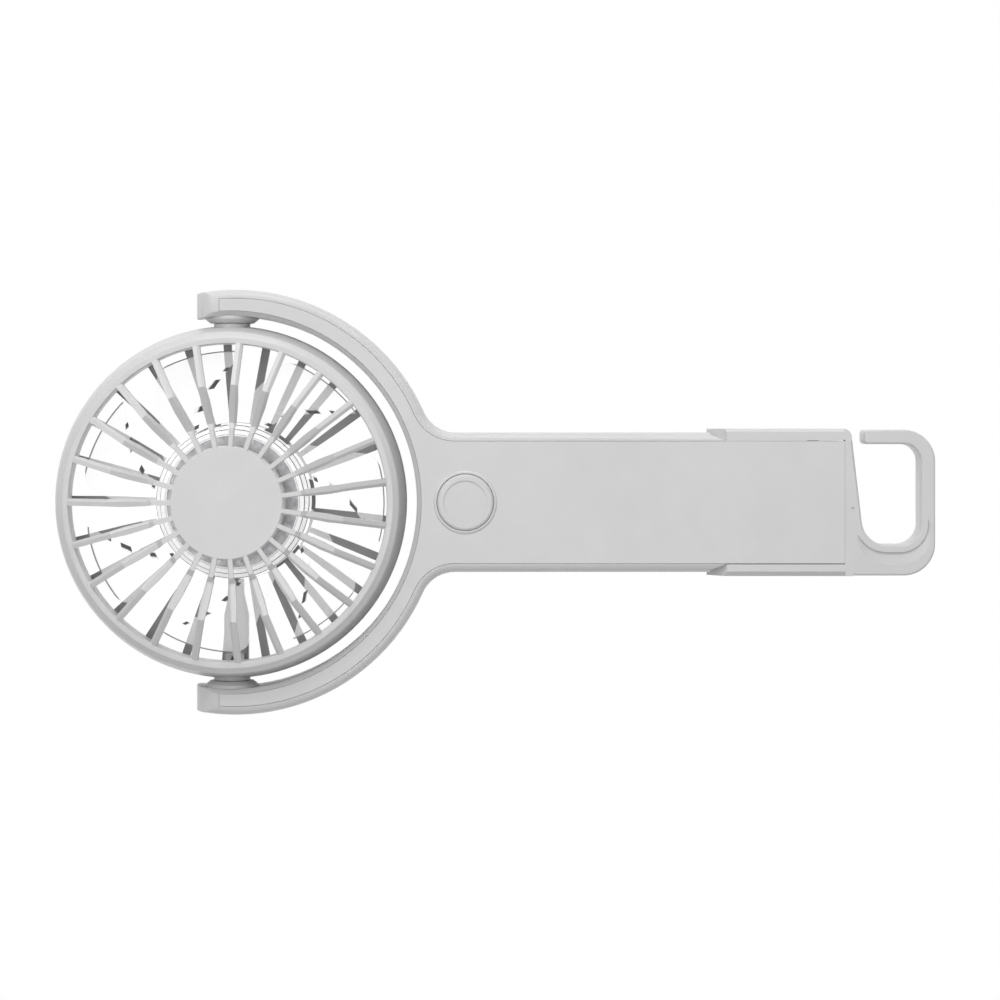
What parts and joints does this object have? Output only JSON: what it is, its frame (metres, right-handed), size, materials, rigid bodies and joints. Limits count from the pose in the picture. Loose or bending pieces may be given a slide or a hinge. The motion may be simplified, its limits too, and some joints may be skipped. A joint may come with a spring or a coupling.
{
  "type": "handheld fan",
  "caption": "Flat battery handheld fan: round caged head that tilts in a C-shaped yoke, push button on the handle, and a folding stand with a carrying hook at its end.",
  "frame": {"origin": "centre of the underside of the whole fan, lying on its back with the grille up", "axes": "+X along the handle from the head to the hook, +Y along the head's tilt axis, +Z the way the air blows, out of the front grille"},
  "size_m": [0.2256, 0.1088, 0.0348],
  "materials": {
    "casing_grey": "satin",
    "stand_grey": "satin",
    "button_grey": "satin",
    "impeller_white": "gloss",
    "bush_grey": "satin",
    "board_green": "satin",
    "component_black": "matte",
    "steel": "brushed",
    "brass": "polished",
    "copper": "enamelled",
    "lamination": "matte",
    "magnet": "matte",
    "cell_foil": "satin",
    "foam": "matte",
    "cable_black": "matte",
    "cable_red": "matte"
  },
  "bodies": {
    "handle": {"rear_casing": "casing_grey", "front_cover": "casing_grey", "pivot_bushes": "bush_grey", "main_board": "board_green", "board_components": "component_black", "tact_switch": "component_black", "usb_c_socket": "steel", "battery_cell": "cell_foil", "battery_foam_pad": "foam", "battery_leads": "cable_red", "motor_lead_handle": "cable_black", "casing_screws": "steel", "board_screws": "steel"},
    "head": {"front_grille": "casing_grey", "rear_shell": "casing_grey", "upper_trunnion": "bush_grey", "lower_trunnion": "bush_grey", "friction_washers": "steel", "tilt_retainers": "steel", "bearing_tube": "brass", "motor_bearings": "steel", "stator_core": "lamination", "stator_windings": "copper", "motor_board": "board_green", "motor_screws": "steel", "motor_lead_head": "cable_black"},
    "rotor": {"impeller": "impeller_white", "rotor_cup": "steel", "ring_magnet": "magnet", "motor_shaft": "steel", "shaft_clip": "steel"},
    "button": {"power_button": "button_grey", "switch_plunger": "component_black"},
    "stand": {"stand_bracket": "stand_grey", "stand_pins": "steel"}
  },
  "joints": [
    {"name": "head_tilt", "type": "hinge", "parent": "handle", "child": "head", "pos_m": [-0.06755, 0, 0.0154], "axis": [0, 1, 0], "range_deg": [-90, 90]},
    {"name": "impeller_spin", "type": "hinge", "parent": "head", "child": "rotor", "pos_m": [-0.06755, 0, 0.0104], "axis": [0, 0, 1], "continuous": true},
    {"name": "button_press", "type": "slide", "parent": "handle", "child": "button", "axis": [0, 0, -1], "range_m": [0, 0.0005], "stiffness_N_per_m": 2500, "springref_m": -0.0002},
    {"name": "stand_fold", "type": "hinge", "parent": "handle", "child": "stand", "pos_m": [0.08225, 0, 0.0154], "axis": [0, 1, 0], "range_deg": [0, 90]}
  ]
}
